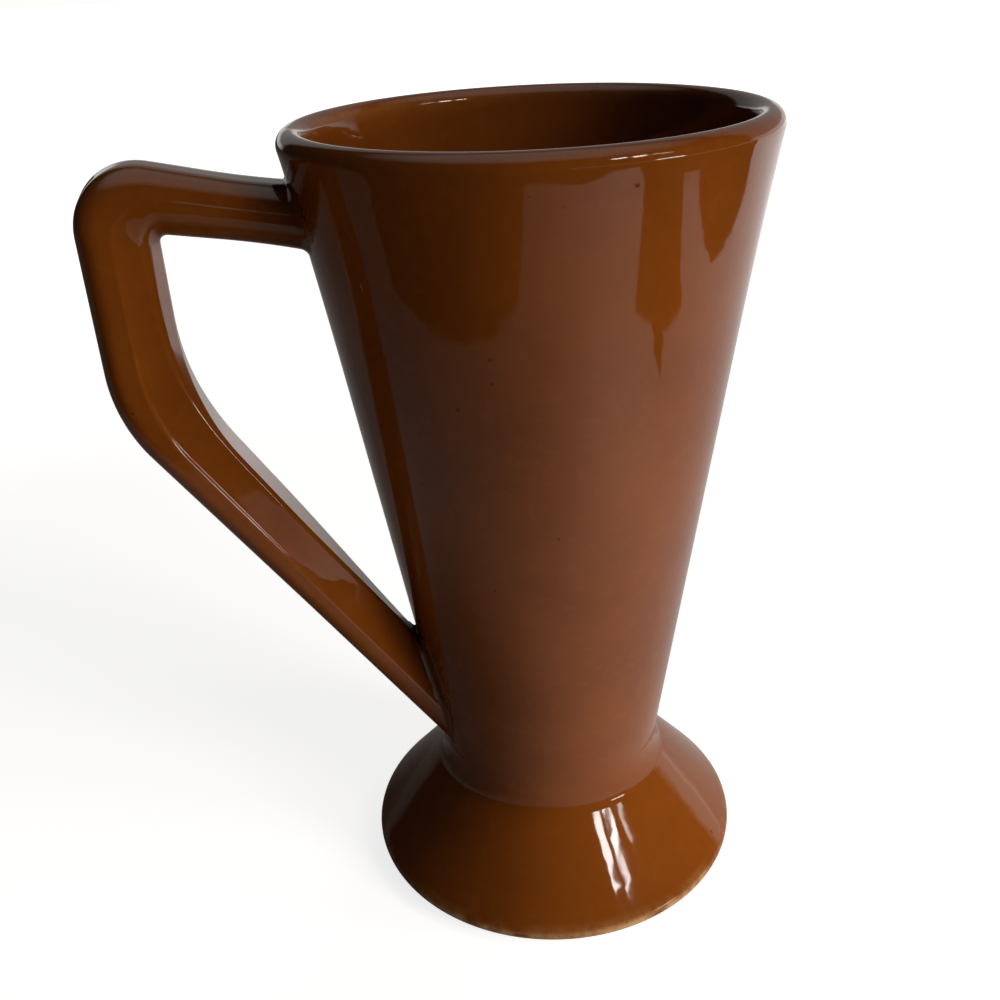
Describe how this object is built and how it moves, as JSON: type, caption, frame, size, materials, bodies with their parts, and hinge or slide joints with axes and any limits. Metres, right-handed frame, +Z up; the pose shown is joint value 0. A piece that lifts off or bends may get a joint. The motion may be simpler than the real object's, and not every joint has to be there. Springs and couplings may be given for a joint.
{
  "type": "footed mug",
  "caption": "Tall conical glazed stoneware mug on a flared hollow foot, with a rounded lip and an angular side handle, for hot drinks.",
  "frame": {"origin": "on the table, under the middle of the mug's box with its handle", "axes": "+Z up along the mug's own axis, -X towards the handle, Y across the handle's plane"},
  "size_m": [0.112, 0.0806, 0.146],
  "materials": {
    "glaze": "glossy brown glaze",
    "slip": "glossy brown glaze pooled over the joints"
  },
  "bodies": {
    "root": {"cup_body": "glaze", "pedestal_foot": "glaze", "foot_joint": "slip", "handle": "glaze", "handle_upper_joint": "slip", "handle_lower_joint": "slip"}
  },
  "joints": []
}
